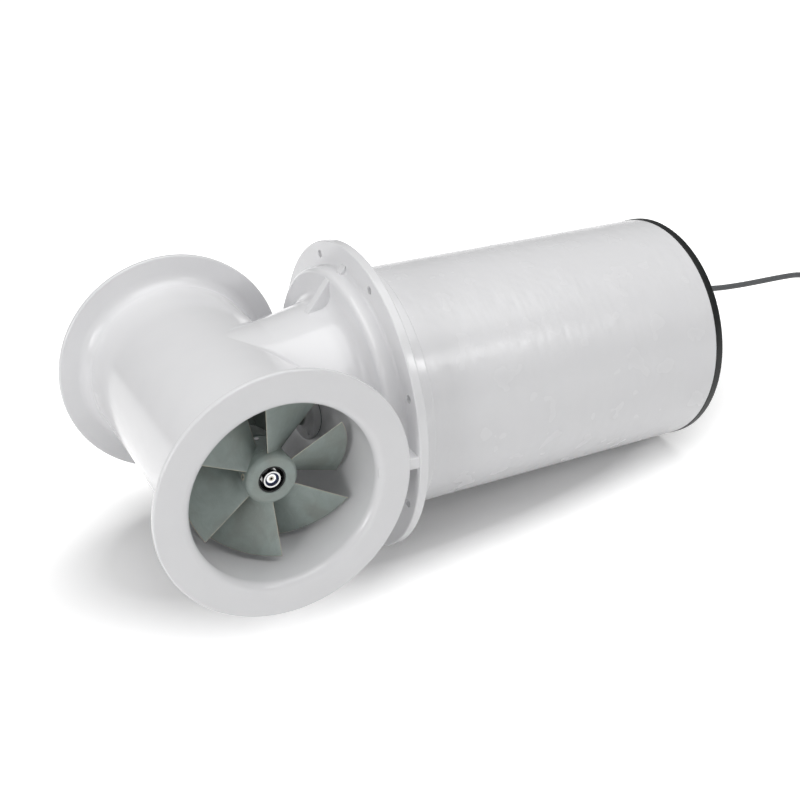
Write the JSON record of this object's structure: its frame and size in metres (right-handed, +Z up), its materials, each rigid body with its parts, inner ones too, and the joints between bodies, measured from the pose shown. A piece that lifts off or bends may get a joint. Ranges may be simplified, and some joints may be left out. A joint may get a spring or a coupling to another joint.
{
  "type": "bow thruster",
  "caption": "Tunnel bow thruster: white T-shaped tunnel with flared mouths and a hull flange, sealed motor tube with black cap and lead, and a bladed propeller on a right-angle gear leg.",
  "frame": {"origin": "centre of the hull flange's rear face, the face that lies against the hull, on the motor's axis", "axes": "+X along the tunnel towards the mouth with the propeller, +Y along the motor towards the black end cap, +Z up"},
  "size_m": [0.332, 1.1601, 0.332],
  "materials": {
    "white_laminate": "glossy gelcoat",
    "wound_laminate": "satin wound fibre",
    "black_plastic": "satin",
    "grey_composite": "satin",
    "leg_casting": "satin",
    "rubber": "matt",
    "stainless": "machined",
    "bright_steel": "ground",
    "laminations": "laminated",
    "copper": "drawn copper",
    "ferrite": "ground",
    "cast_aluminium": "as cast",
    "yoke_paint": "black paint",
    "phenolic": "moulded",
    "lead_sheath": "satin",
    "blue_nylon": "satin"
  },
  "bodies": {
    "housing": {"tunnel_housing": "white_laminate", "motor_tube": "wound_laminate", "end_cap": "black_plastic", "cap_seal": "rubber", "cap_ring": "white_laminate", "cap_screws": "stainless", "cable_gland": "black_plastic", "gland_nut": "black_plastic", "cable_boot": "rubber", "gear_leg": "leg_casting", "gearcase_cover": "leg_casting", "leg_gasket": "rubber", "lower_drive_bearing": "bright_steel", "upper_drive_bearing": "bright_steel", "drive_shaft_seal": "rubber", "inner_propeller_bearing": "bright_steel", "nose_bearing": "bright_steel", "propeller_shaft_seal": "rubber", "motor_bracket": "cast_aluminium", "leg_bolts": "stainless", "motor_bolts": "stainless", "motor_yoke": "yoke_paint", "front_end_bell": "cast_aluminium", "rear_end_bell": "cast_aluminium", "front_motor_bearing": "bright_steel", "rear_motor_bearing": "bright_steel", "through_bolts": "stainless", "field_magnets": "ferrite", "brush_ring": "phenolic", "brushes": "ferrite", "switchgear_plate": "cast_aluminium", "contactor": "black_plastic", "control_unit": "black_plastic", "terminal_studs": "stainless", "bus_bars": "copper", "control_lead": "lead_sheath", "lead_coil": "lead_sheath", "lead_tail": "lead_sheath", "coil_tie": "black_plastic", "lead_connector": "black_plastic"},
    "motor_rotor": {"armature_shaft": "bright_steel", "armature_core": "laminations", "front_winding": "copper", "rear_winding": "copper", "commutator": "copper", "motor_coupling": "cast_aluminium", "coupling_spider": "rubber", "leg_coupling": "cast_aluminium", "drive_shaft": "bright_steel", "bevel_pinion": "stainless"},
    "propeller": {"propeller_shaft": "bright_steel", "crown_gear": "stainless", "propeller": "grey_composite", "drive_pin": "bright_steel", "propeller_washer": "black_plastic", "propeller_nut": "stainless", "nut_insert": "blue_nylon"}
  },
  "joints": [
    {"name": "motor_spin", "type": "hinge", "parent": "housing", "child": "motor_rotor", "pos_m": [0, -0.148, 0], "axis": [0, 1, 0], "continuous": true},
    {"name": "propeller_spin", "type": "hinge", "parent": "housing", "child": "propeller", "pos_m": [0, -0.148, 0], "axis": [1, 0, 0], "continuous": true}
  ],
  "couplings": [
    {"joint": "propeller_spin", "follows": "motor_spin", "ratio": -0.61905}
  ]
}
